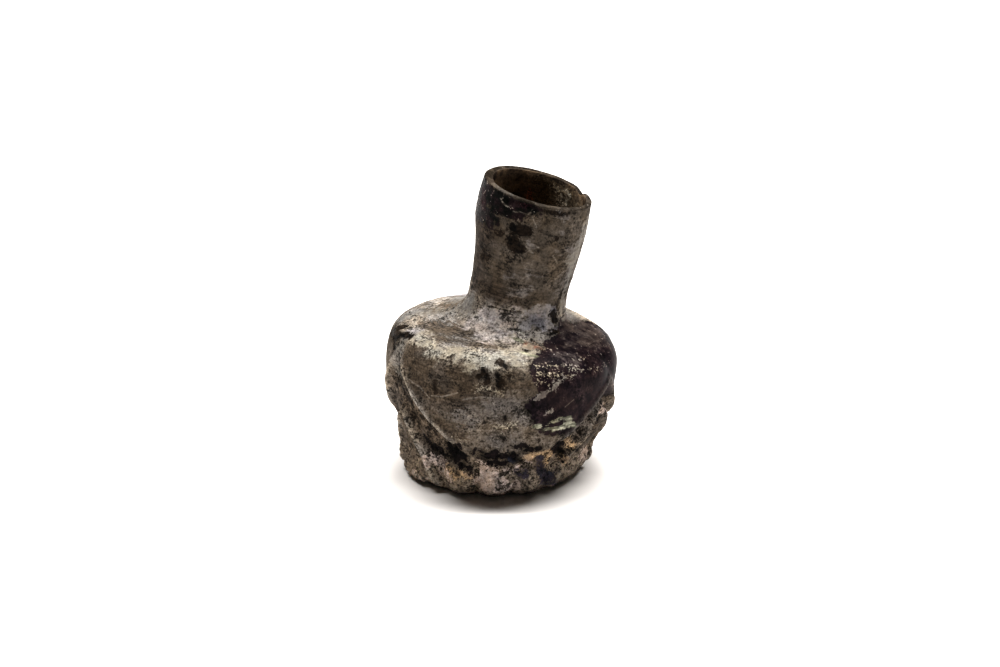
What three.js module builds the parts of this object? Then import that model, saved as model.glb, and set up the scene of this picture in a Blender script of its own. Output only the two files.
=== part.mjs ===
// Ancient mould-blown glass perfume flask: a leaning neck with a slanting, chipped
// lip on a squat body of three broad petals over a lobed base.
// Millimetres, +Z up, the shown side towards -Y. Azimuths are in degrees, 0 at -Y
// and growing towards +X.
import * as THREE from 'three';

// Driving dimensions

// Outline of the petal and lobe crests, from the resting ring up to the lip. Each
// station may drift off the axis towards +X and fall by a share of its radius there.
const STATIONS = [
  { radius: 16.5, height: 0.0, drift: -1.7, fall: 0.0 }, // resting ring
  { radius: 19.0, height: 2.2, drift: -1.4, fall: 0.0 }, // heel
  { radius: 19.8, height: 6.6, drift: -1.1, fall: 0.0 }, // base lobes
  { radius: 21.8, height: 12.0, drift: -0.2, fall: 0.0 }, // under the petals
  { radius: 23.0, height: 19.5, drift: -0.3, fall: 0.03 }, // belly
  { radius: 22.8, height: 26.2, drift: 0.2, fall: 0.08 }, // shoulder turn
  { radius: 19.6, height: 29.8, drift: 0.4, fall: 0.095 }, // shoulder
  { radius: 13.2, height: 31.6, drift: 1.8, fall: 0.1 }, // shoulder top
  { radius: 10.2, height: 34.0, drift: 2.6, fall: 0.14 }, // neck root
  { radius: 9.6, height: 38.6, drift: 3.4, fall: 0.17 }, // neck waist
  { radius: 10.0, height: 44.5, drift: 4.6, fall: 0.2 }, // neck middle
  { radius: 10.8, height: 51.5, drift: 5.6, fall: 0.25 }, // neck swell
  { radius: 10.5, height: 59.0, drift: 7.1, fall: 0.32 }, // lip
];

const BODY_WALL = 1.6;
const LIP_WALL = 1.15;
const LIP_ROUNDING = 0.4;
const LIP_CROWN = [0.35, 0.75];
const LIP_REACH = 6;
const WALL_THICKENING = 8;

const RING_INNER_RADIUS = 13.0;
const KICK_RADIUS = 6.5;
const KICK_HEIGHT = 1.3;
const FLOOR_HEIGHT = 3.4;
const FLOOR_RADIUS = 13.5;
const FLOOR_CORNER_STATION = 1.6;
const RING_BLEND = 1.5;

// Two petals meet over each leaf, at an azimuth and a height. Their edges spread apart
// below that, by a rake in millimetres sideways for each millimetre down. The leaf has its
// own middle, and a taper that is smaller where it stays broad towards its tip.
const LEAVES = [
  { meeting: -66, meetingHeight: 26.4, middle: -63, rakeLeft: 0.75, rakeRight: 1.11, taper: 0.8 },
  { meeting: 68, meetingHeight: 22.9, middle: 62.5, rakeLeft: 1.34, rakeRight: 0.75, taper: 0.5 },
  { meeting: 180, meetingHeight: 24.5, middle: 180, rakeLeft: 1.0, rakeRight: 1.0, taper: 0.65 },
];
const LEAF_HEIGHT = 17.0;
const LEAF_HALF_WIDTH = 9.3;
const LEAF_HALF_ANGLE = 28;
const LOBES_PER_PETAL = 3;
const LOBE_HEIGHT = 9.3;
const LOBE_HEIGHT_SWING = 3.4;
const LOBE_TALLEST_AZIMUTH = -100;
const LOBE_ROUNDNESS = 0.85;
const LOBE_FADE = [0.6, 1.15];

// Moulded relief: how far it stands, how wide it is, and the heights between which it
// grows in and fades out. A step runs across an edge, from outside it to inside. A leaf's
// face fills a share of the hollow that it lies in, between its two ribs.
const PETAL_RELIEF = 1.35;
const LOBE_RELIEF = 1.6;
const FOOT_LIFT = 0.35;
const RELIEF_FADE = [21.5, 27];
const BASE_RECESS_FADE = [6, 11.5];
const PETAL_STEP = [-1.8, 0.5];
const PETAL_RIDGE = 0.5;
const PETAL_RIDGE_WIDTH = 0.7;
const PETAL_RIDGE_INSET = 0.3;
const PETAL_RIDGE_SPAN = [11, 14, 22.5, 27];
const LEAF_FACE = 0.55;
const LEAF_STEP = [-0.7, 1.2];
const LEAF_RIB = 1.0;
const LEAF_RIB_WIDTH = 0.85;
const LEAF_RIB_INSET = 0.5;
const LEAF_RIB_SPAN = [0.3, 2, 14, 17.5];
const SHOULDER_VALLEY = 0.45;
const SHOULDER_VALLEY_WIDTH = 2.2;
const SHOULDER_VALLEY_SPAN = [20, 25, 27, 31.5];
const INNER_RELIEF_SHARE = 0.5;

const LIP_LIFT = 0.7;
const LIP_LIFT_AZIMUTH = 130;
const CHIP_AZIMUTH = 119;
const CHIP_HALF_ANGLE = 7;
const CHIP_DEPTH = 0.8;

// Facets: along each lobe and leaf, and up each stretch between two stations
const FACETS_PER_LOBE = 5;
const FACETS_PER_LEAF = 15;
const FACETS_PER_STRETCH = [3, 3, 4, 5, 4, 3, 3, 2, 2, 2, 2, 3];
const INNER_ROWS = 12;

const GLASS = new THREE.MeshStandardMaterial({ color: 0x625a50, roughness: 0.55, metalness: 0 });

const { smoothstep, euclideanModulo, degToRad, lerp } = THREE.MathUtils;

const outline = new THREE.SplineCurve(STATIONS.map((s) => new THREE.Vector2(s.radius, s.height)));
const lean = new THREE.SplineCurve(STATIONS.map((s) => new THREE.Vector2(s.drift, s.fall)));
const stretches = STATIONS.length - 1;
const lipHeight = STATIONS[stretches].height;

function turn(azimuth) {
  return euclideanModulo(azimuth + 180, 360) - 180;
}

function bump(distance, width) {
  return Math.exp(-((distance / width) ** 2));
}

function between(value, [from, full, fading, gone]) {
  return smoothstep(value, from, full) * (1 - smoothstep(value, fading, gone));
}

// Base lobes stand side by side between one leaf and the next
function placeLobes() {
  const middles = LEAVES.map((leaf) => leaf.middle).sort((a, b) => a - b);
  const lobes = [];
  middles.forEach((middle, index) => {
    const next = index + 1 < middles.length ? middles[index + 1] : middles[0] + 360;
    const halfWidth = (next - middle - 2 * LEAF_HALF_ANGLE) / LOBES_PER_PETAL / 2;
    for (let k = 0; k < LOBES_PER_PETAL; k += 1) {
      const azimuth = middle + LEAF_HALF_ANGLE + (2 * k + 1) * halfWidth;
      const rise = LOBE_HEIGHT_SWING * Math.cos(degToRad(azimuth - LOBE_TALLEST_AZIMUTH));
      lobes.push({ azimuth, halfWidth, top: LOBE_HEIGHT + rise });
    }
  });
  return lobes;
}

const lobes = placeLobes();

function lobeRise(azimuth, height) {
  let rise = 0;
  for (const lobe of lobes) {
    const across = turn(azimuth - lobe.azimuth) / lobe.halfWidth;
    if (Math.abs(across) < 1) {
      const fade = 1 - smoothstep(height / lobe.top, ...LOBE_FADE);
      rise = (1 - across ** 2) ** LOBE_ROUNDNESS * fade;
    }
  }
  return rise;
}

// Height of the moulded surface over the crest outline, never far above zero
function relief(azimuth, height, radius) {
  const millimetresPerDegree = degToRad(radius);
  let recess = 1 - smoothstep(height, ...BASE_RECESS_FADE);
  let raised = lobeRise(azimuth, height);
  let ridge = 0;
  let rib = 0;
  let valley = 0;
  for (const leaf of LEAVES) {
    const offset = turn(azimuth - leaf.meeting) * millimetresPerDegree;
    const rake = offset < 0 ? leaf.rakeLeft : leaf.rakeRight;
    const spread = rake * (leaf.meetingHeight - height);
    const pastEdge = (Math.abs(offset) - spread) / Math.hypot(1, rake);
    recess = Math.max(recess, 1 - smoothstep(pastEdge, ...PETAL_STEP));
    ridge = Math.max(ridge, bump(pastEdge - PETAL_RIDGE_INSET, PETAL_RIDGE_WIDTH));
    valley = Math.max(valley, bump(offset, SHOULDER_VALLEY_WIDTH));

    const fromMiddle = Math.abs(turn(azimuth - leaf.middle)) * millimetresPerDegree;
    const halfWidth = LEAF_HALF_WIDTH * Math.max(1 - height / LEAF_HEIGHT, 0) ** leaf.taper;
    const insideLeaf = (halfWidth - fromMiddle) / Math.hypot(1, LEAF_HALF_WIDTH / LEAF_HEIGHT);
    raised = Math.max(raised, LEAF_FACE * smoothstep(insideLeaf, ...LEAF_STEP));
    rib = Math.max(rib, bump(insideLeaf - LEAF_RIB_INSET, LEAF_RIB_WIDTH));
  }
  recess *= 1 - smoothstep(height, ...RELIEF_FADE);
  const ridgeRise = PETAL_RIDGE * ridge * between(height, PETAL_RIDGE_SPAN);
  const ribRise = LEAF_RIB * rib * between(height, LEAF_RIB_SPAN);
  const valleyDepth = SHOULDER_VALLEY * valley * between(height, SHOULDER_VALLEY_SPAN);
  const recessDepth = lerp(LOBE_RELIEF, PETAL_RELIEF, smoothstep(height, ...BASE_RECESS_FADE));
  return ridgeRise + ribRise - valleyDepth - recessDepth * recess * (1 - raised);
}

// The lip isn't level: it lifts a little to one side and has a chip out of it
function lipLine(azimuth) {
  const lift = LIP_LIFT * Math.cos(degToRad(azimuth - LIP_LIFT_AZIMUTH));
  return lift - CHIP_DEPTH * bump(turn(azimuth - CHIP_AZIMUTH), CHIP_HALF_ANGLE);
}

// A point of the glass at a place along the outline, set in from the outer skin
function skin(place, azimuth, inset, reliefShare, lowered = 0) {
  const { x: radius, y: height } = outline.getPoint(place);
  const { x: drift, y: fall } = lean.getPoint(place);
  const tangent = outline.getTangent(place);
  const stand = reliefShare * relief(azimuth, height, radius) - inset;
  const out = radius + stand * tangent.y;
  const offTable = lerp(stand < 0 ? FOOT_LIFT : 0, 1, smoothstep(height, 0, RING_BLEND));
  const up = height - stand * tangent.x * offTable;
  const sideways = out * Math.sin(degToRad(azimuth));
  const lip = (lipLine(azimuth) - lowered) * smoothstep(height, lipHeight - LIP_REACH, lipHeight);
  return new THREE.Vector3(drift + sideways, -out * Math.cos(degToRad(azimuth)), up + lip - fall * sideways);
}

function level(radius, height, azimuth) {
  const angle = degToRad(azimuth);
  return new THREE.Vector3(STATIONS[0].drift + radius * Math.sin(angle), -radius * Math.cos(angle), height);
}

// Facet azimuths fall on every groove between lobes and on every leaf's middle
function facetAzimuths() {
  const azimuths = [];
  const fill = (from, width, count) => {
    for (let k = 0; k < count; k += 1) azimuths.push(from + (width * k) / count);
  };
  const middles = LEAVES.map((leaf) => leaf.middle).sort((a, b) => a - b);
  middles.forEach((middle, index) => {
    fill(middle - LEAF_HALF_ANGLE, 2 * LEAF_HALF_ANGLE, FACETS_PER_LEAF);
    const own = lobes.slice(index * LOBES_PER_PETAL, (index + 1) * LOBES_PER_PETAL);
    own.forEach((lobe) => fill(lobe.azimuth - lobe.halfWidth, 2 * lobe.halfWidth, FACETS_PER_LOBE));
  });
  return azimuths;
}

function outerPlaces() {
  const places = [];
  FACETS_PER_STRETCH.forEach((count, stretch) => {
    for (let k = 0; k < count; k += 1) places.push((stretch + k / count) / stretches);
  });
  return [...places, 1];
}

// Two triangles whose shared edge follows a ridge or groove that crosses the facet
function splitAlongRelief([a, b, c, d], points) {
  const reach = (index) => Math.hypot(points[index].x, points[index].y);
  const rising = Math.abs(reach(a) - reach(c));
  const falling = Math.abs(reach(b) - reach(d));
  return rising < falling ? [a, b, c, a, c, d] : [a, b, d, b, c, d];
}

// Closed skin from the middle of the underside, up the outside, over the lip and down
// the inside to the middle of the floor
function flaskGeometry() {
  const azimuths = facetAzimuths();
  const floorCorner = FLOOR_CORNER_STATION / stretches;
  const rows = [
    (a) => level(KICK_RADIUS, KICK_HEIGHT, a),
    (a) => level(RING_INNER_RADIUS, 0, a),
    ...outerPlaces().map((place) => (a) => skin(place, a, 0, 1, place === 1 ? LIP_ROUNDING : 0)),
    ...LIP_CROWN.map((share) => (a) => skin(1, a, LIP_WALL * share, 1)),
  ];
  for (let k = 0; k < INNER_ROWS; k += 1) {
    const place = lerp(1, floorCorner, k / (INNER_ROWS - 1));
    const thickening = Math.min(1, ((1 - place) * stretches) / WALL_THICKENING);
    const wall = lerp(LIP_WALL, BODY_WALL, thickening);
    rows.push((a) => skin(place, a, wall, INNER_RELIEF_SHARE, k === 0 ? LIP_ROUNDING : 0));
  }
  rows.push((a) => level(FLOOR_RADIUS, FLOOR_HEIGHT, a));

  const points = [level(0, KICK_HEIGHT, 0)];
  rows.forEach((row) => azimuths.forEach((azimuth) => points.push(row(azimuth))));
  points.push(level(0, FLOOR_HEIGHT + KICK_HEIGHT / 2, 0));

  const around = azimuths.length;
  const at = (row, k) => 1 + row * around + (k % around);
  const last = points.length - 1;
  const faces = [];
  for (let k = 0; k < around; k += 1) {
    faces.push(0, at(0, k + 1), at(0, k));
    for (let row = 0; row + 1 < rows.length; row += 1) {
      const corners = [at(row, k), at(row, k + 1), at(row + 1, k + 1), at(row + 1, k)];
      faces.push(...splitAlongRelief(corners, points));
    }
    faces.push(last, at(rows.length - 1, k), at(rows.length - 1, k + 1));
  }

  const geometry = new THREE.BufferGeometry().setFromPoints(points);
  geometry.setIndex(faces);
  geometry.computeBoundingBox();
  const centre = geometry.boundingBox.getCenter(new THREE.Vector3());
  geometry.translate(-centre.x, -centre.y, 0);
  geometry.computeVertexNormals();
  return geometry;
}

const flask = new THREE.Mesh(flaskGeometry(), GLASS);
flask.name = 'flask';

const group = new THREE.Group();
group.add(flask);
export default group;
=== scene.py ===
import math
from typing import NamedTuple

import bpy
import numpy as np
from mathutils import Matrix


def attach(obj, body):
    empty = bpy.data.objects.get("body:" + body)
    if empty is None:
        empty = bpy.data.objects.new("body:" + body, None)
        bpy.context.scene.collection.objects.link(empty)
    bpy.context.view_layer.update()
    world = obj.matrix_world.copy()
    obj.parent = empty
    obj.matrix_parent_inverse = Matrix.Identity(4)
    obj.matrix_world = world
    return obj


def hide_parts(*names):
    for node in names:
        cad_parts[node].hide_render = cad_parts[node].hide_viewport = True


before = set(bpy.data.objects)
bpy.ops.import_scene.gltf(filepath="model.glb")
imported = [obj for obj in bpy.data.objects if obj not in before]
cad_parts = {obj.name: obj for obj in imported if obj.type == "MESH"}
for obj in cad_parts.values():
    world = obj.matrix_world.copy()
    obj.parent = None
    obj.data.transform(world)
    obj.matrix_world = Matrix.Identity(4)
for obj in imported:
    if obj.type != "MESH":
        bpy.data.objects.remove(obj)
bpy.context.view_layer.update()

# Flask wall
# One gather of dark glass blown into a mould: three broad petals meet over three leaves, with
# three lobes at the foot of each petal. The neck was pulled to one side while it was soft.
# Sizes are in millimetres, azimuths in degrees from the shown side (-Y) towards +X.

# Outline of the crests, from the resting ring to the lip: radius, height, drift towards +X, and
# how far the wall falls for each millimetre towards +X
STATIONS = np.array([
    (16.5, 0.0, -1.7, 0.0),  # resting ring
    (19.0, 2.2, -1.4, 0.0),  # heel
    (19.8, 6.6, -1.1, 0.0),  # base lobes
    (21.8, 12.0, -0.2, 0.0),  # under the petals
    (23.0, 19.5, -0.3, 0.03),  # belly
    (22.8, 26.2, 0.2, 0.08),  # shoulder turn
    (19.6, 29.8, 0.4, 0.095),  # shoulder
    (13.2, 31.6, 1.8, 0.1),  # shoulder top
    (10.2, 34.0, 2.6, 0.14),  # neck root
    (9.6, 38.6, 3.4, 0.17),  # neck waist
    (10.0, 44.5, 4.6, 0.2),  # neck middle
    (10.8, 51.5, 5.6, 0.25),  # neck swell
    (10.5, 59.0, 7.1, 0.32),  # lip
])
LAST_STATION = len(STATIONS) - 1
LIP_HEIGHT = STATIONS[-1, 1]
BASE_DRIFT = STATIONS[0, 2]

BODY_WALL = 1.6
LIP_WALL = 1.15
LIP_ROUNDING = 0.4
LIP_REACH = 6.0
WALL_THICKENING = 8.0
RING_INNER_RADIUS = 13.0
KICK_RADIUS = 6.5
KICK_HEIGHT = 1.3
FLOOR_HEIGHT = 3.4
FLOOR_RADIUS = 13.5
FLOOR_CORNER_STATION = 1.6
RING_BLEND = 1.5

# Each leaf: the azimuth and height where two petals meet over it, its middle, how far the petals'
# edges spread to the left and right for each millimetre below that, and the taper of its tip
LEAVES = [
    (-66, 26.4, -63, 0.75, 1.11, 0.8),
    (68, 22.9, 62.5, 1.34, 0.75, 0.5),
    (180, 24.5, 180, 1.0, 1.0, 0.65),
]
LEAF_HEIGHT = 17.0
LEAF_HALF_WIDTH = 9.3
LEAF_HALF_ANGLE = 28
LOBES_PER_PETAL = 3
LOBE_HEIGHT = 9.3
LOBE_HEIGHT_SWING = 3.4
LOBE_TALLEST_AZIMUTH = -100
LOBE_ROUNDNESS = 0.85
LOBE_FADE = (0.6, 1.15)

PETAL_RELIEF = 1.35
LOBE_RELIEF = 1.6
FOOT_LIFT = 0.35
RELIEF_FADE = (21.5, 27)
BASE_RECESS_FADE = (6, 11.5)
PETAL_STEP = (-1.8, 0.5)
PETAL_RIDGE = 0.5
PETAL_RIDGE_WIDTH = 0.7
PETAL_RIDGE_INSET = 0.3
PETAL_RIDGE_SPAN = (11, 14, 22.5, 27)
LEAF_FACE = 0.55
LEAF_STEP = (-0.7, 1.2)
LEAF_RIB = 1.0
LEAF_RIB_WIDTH = 0.85
LEAF_RIB_INSET = 0.5
LEAF_RIB_SPAN = (0.3, 2, 14, 17.5)
SHOULDER_VALLEY = 0.45
SHOULDER_VALLEY_WIDTH = 2.2
SHOULDER_VALLEY_SPAN = (20, 25, 27, 31.5)
INNER_RELIEF_SHARE = 0.5

LIP_LIFT = 0.7
LIP_LIFT_AZIMUTH = 130
CHIP_AZIMUTH = 119
CHIP_HALF_ANGLE = 7
CHIP_DEPTH = 0.8


def smoothstep(value, start, end):
    share = np.clip((value - start) / (end - start), 0, 1)
    return share * share * (3 - 2 * share)


def bump(distance, width):
    return np.exp(-((distance / width) ** 2))


def between(value, span):
    start, full, fading, gone = span
    return smoothstep(value, start, full) * (1 - smoothstep(value, fading, gone))


def turn(azimuth):
    return (azimuth + 180) % 360 - 180


def outline(place):
    """Radius, height, drift and fall at a place counted in stations, and the outline's direction."""
    first = np.clip(np.floor(place).astype(int), 0, LAST_STATION - 1)
    t = (place - first)[..., None]
    before = STATIONS[np.maximum(first - 1, 0)]
    start = STATIONS[first]
    end = STATIONS[first + 1]
    after = STATIONS[np.minimum(first + 2, LAST_STATION)]
    leave = (end - before) / 2
    arrive = (after - start) / 2
    values = ((2 * t**3 - 3 * t**2 + 1) * start + (t**3 - 2 * t**2 + t) * leave
              + (3 * t**2 - 2 * t**3) * end + (t**3 - t**2) * arrive)
    rates = ((6 * t**2 - 6 * t) * (start - end) + (3 * t**2 - 4 * t + 1) * leave
             + (3 * t**2 - 2 * t) * arrive)
    direction = rates[..., :2] / np.linalg.norm(rates[..., :2], axis=-1, keepdims=True)
    return values, direction


def place_lobes():
    """Azimuth, half width and top of each base lobe, side by side between one leaf and the next."""
    middles = sorted(leaf[2] for leaf in LEAVES)
    lobes = []
    for middle, following in zip(middles, middles[1:] + [middles[0] + 360]):
        half_width = (following - middle - 2 * LEAF_HALF_ANGLE) / LOBES_PER_PETAL / 2
        for k in range(LOBES_PER_PETAL):
            azimuth = middle + LEAF_HALF_ANGLE + (2 * k + 1) * half_width
            rise = LOBE_HEIGHT_SWING * math.cos(math.radians(azimuth - LOBE_TALLEST_AZIMUTH))
            lobes.append((azimuth, half_width, LOBE_HEIGHT + rise))
    return lobes


LOBES = place_lobes()


def moulded_relief(azimuth, height, radius):
    """Height of the mould's pattern over the crest outline, its hollows and its ridges (0 to 1)."""
    per_degree = np.radians(radius)
    recess = 1 - smoothstep(height, *BASE_RECESS_FADE)
    raised = np.zeros_like(recess)
    for lobe_azimuth, half_width, top in LOBES:
        across = turn(azimuth - lobe_azimuth) / half_width
        swell = np.clip(1 - across**2, 0, 1) ** LOBE_ROUNDNESS
        raised = np.maximum(raised, swell * (1 - smoothstep(height / top, *LOBE_FADE)))
    ridge = np.zeros_like(recess)
    rib = np.zeros_like(recess)
    valley = np.zeros_like(recess)
    for meeting, meeting_height, middle, rake_left, rake_right, taper in LEAVES:
        offset = turn(azimuth - meeting) * per_degree
        rake = np.where(offset < 0, rake_left, rake_right)
        spread = rake * (meeting_height - height)
        past_edge = (np.abs(offset) - spread) / np.hypot(1, rake)
        recess = np.maximum(recess, 1 - smoothstep(past_edge, *PETAL_STEP))
        ridge = np.maximum(ridge, bump(past_edge - PETAL_RIDGE_INSET, PETAL_RIDGE_WIDTH))
        valley = np.maximum(valley, bump(offset, SHOULDER_VALLEY_WIDTH))
        from_middle = np.abs(turn(azimuth - middle)) * per_degree
        half_width = LEAF_HALF_WIDTH * np.maximum(1 - height / LEAF_HEIGHT, 0) ** taper
        inside_leaf = (half_width - from_middle) / math.hypot(1, LEAF_HALF_WIDTH / LEAF_HEIGHT)
        raised = np.maximum(raised, LEAF_FACE * smoothstep(inside_leaf, *LEAF_STEP))
        rib = np.maximum(rib, bump(inside_leaf - LEAF_RIB_INSET, LEAF_RIB_WIDTH))
    recess = recess * (1 - smoothstep(height, *RELIEF_FADE)) * (1 - raised)
    ridge = ridge * between(height, PETAL_RIDGE_SPAN)
    rib = rib * between(height, LEAF_RIB_SPAN)
    valley = valley * between(height, SHOULDER_VALLEY_SPAN)
    depth = LOBE_RELIEF + (PETAL_RELIEF - LOBE_RELIEF) * smoothstep(height, *BASE_RECESS_FADE)
    stand = PETAL_RIDGE * ridge + LEAF_RIB * rib - SHOULDER_VALLEY * valley - depth * recess
    return stand, np.maximum(recess, valley), np.maximum(ridge, rib)


# The lip is thick where it was fire-rounded on the left and thin where it broke in front
LIP_THICK_AZIMUTH = -95
LIP_THICK_HALF_ANGLE = 40
LIP_THICKER = 0.45


def lip_line(azimuth):
    lift = LIP_LIFT * np.cos(np.radians(azimuth - LIP_LIFT_AZIMUTH))
    return lift - CHIP_DEPTH * bump(turn(azimuth - CHIP_AZIMUTH), CHIP_HALF_ANGLE)


def wall_points(place, azimuth, inset, relief_share, lowered, mark):
    """Points of the glass, set in from its outer skin, with the hand-made marks added to it."""
    values, direction = outline(place)
    radius, height, drift, fall = np.moveaxis(values, -1, 0)
    moulded, recess, crest = moulded_relief(azimuth, height, radius)
    stand = relief_share * moulded + mark - inset
    out = radius + stand * direction[..., 1]
    at_table = np.where(stand < 0, FOOT_LIFT, 0)
    off_table = at_table + (1 - at_table) * smoothstep(height, 0, RING_BLEND)
    up = height - stand * direction[..., 0] * off_table
    sideways = out * np.sin(np.radians(azimuth))
    lip = (lip_line(azimuth) - lowered) * smoothstep(height, LIP_HEIGHT - LIP_REACH, LIP_HEIGHT)
    points = np.stack([drift + sideways, -out * np.cos(np.radians(azimuth)),
                       up + lip - fall * sideways], axis=-1)
    return points, recess, crest


def level_ring(radius, height, azimuth):
    angle = np.radians(azimuth)
    return np.stack([BASE_DRIFT + radius * np.sin(angle), -radius * np.cos(angle),
                     np.full_like(angle, height)], axis=-1)


# Places on the wall are an azimuth and a rise, measured along the wall from the resting ring
PLACE_COUNT = 2000
PLACES = np.linspace(0, LAST_STATION, PLACE_COUNT)
OUTLINE_POINTS = outline(PLACES)[0][:, :2]
RISES = np.concatenate([[0], np.cumsum(np.linalg.norm(np.diff(OUTLINE_POINTS, axis=0), axis=1))])
LIP_RISE = RISES[-1]


def place_at(rise):
    return np.interp(rise, RISES, PLACES)


NO_LENGTH = 1e-9


def depth_in_stroke(azimuth, rise, radius, stroke):
    """How deep places lie inside a stroke from one place to another, in millimetres."""
    start_azimuth, start_rise, end_azimuth, end_rise, half_width = stroke
    per_degree = np.radians(radius)
    to_start = np.stack([turn(start_azimuth - azimuth) * per_degree, start_rise - rise], axis=-1)
    length = np.stack([turn(end_azimuth - start_azimuth) * per_degree,
                       np.full_like(rise, end_rise - start_rise)], axis=-1)
    squared = np.maximum((length**2).sum(axis=-1), NO_LENGTH)
    share = np.clip(-(to_start * length).sum(axis=-1) / squared, 0, 1)
    return half_width - np.linalg.norm(to_start + share[..., None] * length, axis=-1)


# Marks left on the wall by hand and wear: start and end place, half width, and height
MARKS = [
    (-44, 24.5, -37, 20.5, 2.0, -0.3),  # dent inside the front petal
    (-15, 14.0, -13, 4.5, 1.1, 0.25),  # run of crust down the front
    (-76, 2.3, -54, 2.2, 2.3, 0.9),  # full lobes on the left of the base
    (-33, 67.4, -8, 68.2, 1.6, -0.5),  # flake broken off the front of the lip
    (-100, 60.0, -95, 66.0, 3.0, 0.15),  # thick side of the neck
    (70, 50.0, 75, 62.0, 4.0, -0.12),  # flat on the neck
]

COLUMNS = 400
FRONT_CROWDING = 0.45
OUTER_ROWS = 200
ROW_SHARES = (0.0, 0.56, 0.72, 1.0)
ROW_RISES = (0.0, 32.0, 44.0, LIP_RISE)
LIP_SHARES = (0.12, 0.3, 0.5, 0.7, 0.88)
INNER_ROWS = 30
KICK_RINGS = 4
SKIN_START = (0.2, 1.5)

spread = np.linspace(-180, 180, COLUMNS, endpoint=False)
columns = spread - np.degrees(FRONT_CROWDING * np.sin(np.radians(spread)))
lip_wall = LIP_WALL + LIP_THICKER * bump(turn(columns - LIP_THICK_AZIMUTH), LIP_THICK_HALF_ANGLE)

WALL_FACTS = ("rise", "outside", "inside", "recess", "crest")
rows = []


def add_row(points, rise, outside, inside, recess=0.0, crest=0.0):
    """A ring of points with its facts: how far up it lies, how much it is skin or inner wall, and
    the mould's hollows and ridges there."""
    values = [np.broadcast_to(np.asarray(value, float), COLUMNS)
              for value in (rise, outside, inside, recess, crest)]
    rows.append((points, dict(zip(WALL_FACTS, values))))


def hand_marks(rise):
    radius = outline(np.full(COLUMNS, place_at(rise)))[0][:, 0]
    total = np.zeros(COLUMNS)
    for *stroke, half_width, height in MARKS:
        depth = depth_in_stroke(columns, np.full(COLUMNS, rise), radius, (*stroke, half_width))
        total += height * smoothstep(depth, 0, half_width)
    return total


for share in np.linspace(0, 1, KICK_RINGS):
    radius = KICK_RADIUS + (RING_INNER_RADIUS - KICK_RADIUS) * share
    add_row(level_ring(radius, KICK_HEIGHT * (1 - smoothstep(share, 0, 1)), columns), 0, 0, 0)
for share in np.linspace(0, 1, OUTER_ROWS):
    rise = float(np.interp(share, ROW_SHARES, ROW_RISES))
    lowered = LIP_ROUNDING if share == 1 else 0
    place = np.full(COLUMNS, place_at(rise))
    points, recess, crest = wall_points(place, columns, 0, 1, lowered, hand_marks(rise))
    add_row(points, rise, smoothstep(rise, *SKIN_START), 0, recess, crest)
lip_mark = hand_marks(LIP_RISE)
lip_place = np.full(COLUMNS, float(LAST_STATION))
for share in LIP_SHARES:
    lowered = LIP_ROUNDING * (2 * share - 1) ** 2
    mark = lip_mark * (1 - share)
    points, _, _ = wall_points(lip_place, columns, lip_wall * share, 1, lowered, mark)
    add_row(points, LIP_RISE, 1 - share, 0)
for share in np.linspace(0, 1, INNER_ROWS):
    place = np.full(COLUMNS, LAST_STATION + (FLOOR_CORNER_STATION - LAST_STATION) * share)
    thickening = np.minimum(1, (LAST_STATION - place) / WALL_THICKENING)
    wall = lip_wall + (BODY_WALL - lip_wall) * thickening
    lowered = LIP_ROUNDING if share == 0 else 0
    points, _, _ = wall_points(place, columns, wall, INNER_RELIEF_SHARE, lowered, 0)
    add_row(points, np.interp(place, PLACES, RISES), 0, 1)
add_row(level_ring(FLOOR_RADIUS, FLOOR_HEIGHT, columns), 0, 0, 1)
add_row(level_ring(FLOOR_RADIUS / 2, FLOOR_HEIGHT + KICK_HEIGHT / 3, columns), 0, 0, 1)

wall_grid = np.concatenate([points for points, _ in rows])
under_pole = np.array([[BASE_DRIFT, 0, KICK_HEIGHT]])
floor_pole = np.array([[BASE_DRIFT, 0, FLOOR_HEIGHT + KICK_HEIGHT / 2]])
points = np.concatenate([under_pole, wall_grid, floor_pole])
points[:, :2] -= (points[:, :2].min(axis=0) + points[:, :2].max(axis=0)) / 2

here = np.arange(COLUMNS)
beside = (here + 1) % COLUMNS
faces = []
for row in range(len(rows) - 1):
    below = 1 + row * COLUMNS
    above = below + COLUMNS
    faces += np.stack([below + here, below + beside, above + beside, above + here], axis=1).tolist()
top = 1 + (len(rows) - 1) * COLUMNS
faces += np.stack([np.zeros(COLUMNS, int), 1 + beside, 1 + here], axis=1).tolist()
faces += np.stack([np.full(COLUMNS, len(points) - 1), top + here, top + beside], axis=1).tolist()

MILLIMETRE = 0.001
flask_mesh = bpy.data.meshes.new("glass_flask")
flask_mesh.from_pydata((points * MILLIMETRE).tolist(), [], faces)
flask = bpy.data.objects.new("glass_flask", flask_mesh)
bpy.context.collection.objects.link(flask)


def per_vertex(fact):
    """A wall fact for every vertex, with the poles taking their neighbours' value."""
    grid = np.concatenate([facts[fact] for _, facts in rows])
    return np.concatenate([grid[:1], grid, grid[-1:]])


def keep_attribute(name, values):
    attribute = flask_mesh.attributes.new(name, "FLOAT", "POINT")
    attribute.data.foreach_set("value", np.asarray(values, np.float32))


rise = per_vertex("rise")
inside = per_vertex("inside")
azimuth = np.concatenate([columns[:1], np.tile(columns, len(rows)), columns[:1]])
wall_radius = outline(place_at(rise))[0][:, 0]
for fact in WALL_FACTS:
    keep_attribute(fact, per_vertex(fact))

# Some layers paint light instead: painted shade down the left of the neck and in hollows, and painted
# highlights over the upper bare glass, along the lip and on worn crests.
# Weathering
# Long burial turned the glass's skin into a grey-brown crust. It has chalky and stained places,
# thin coloured films, and flakes missing down to the dark glass.
# Each stroke of a finish runs from one azimuth and rise to another, with a half width.

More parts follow.
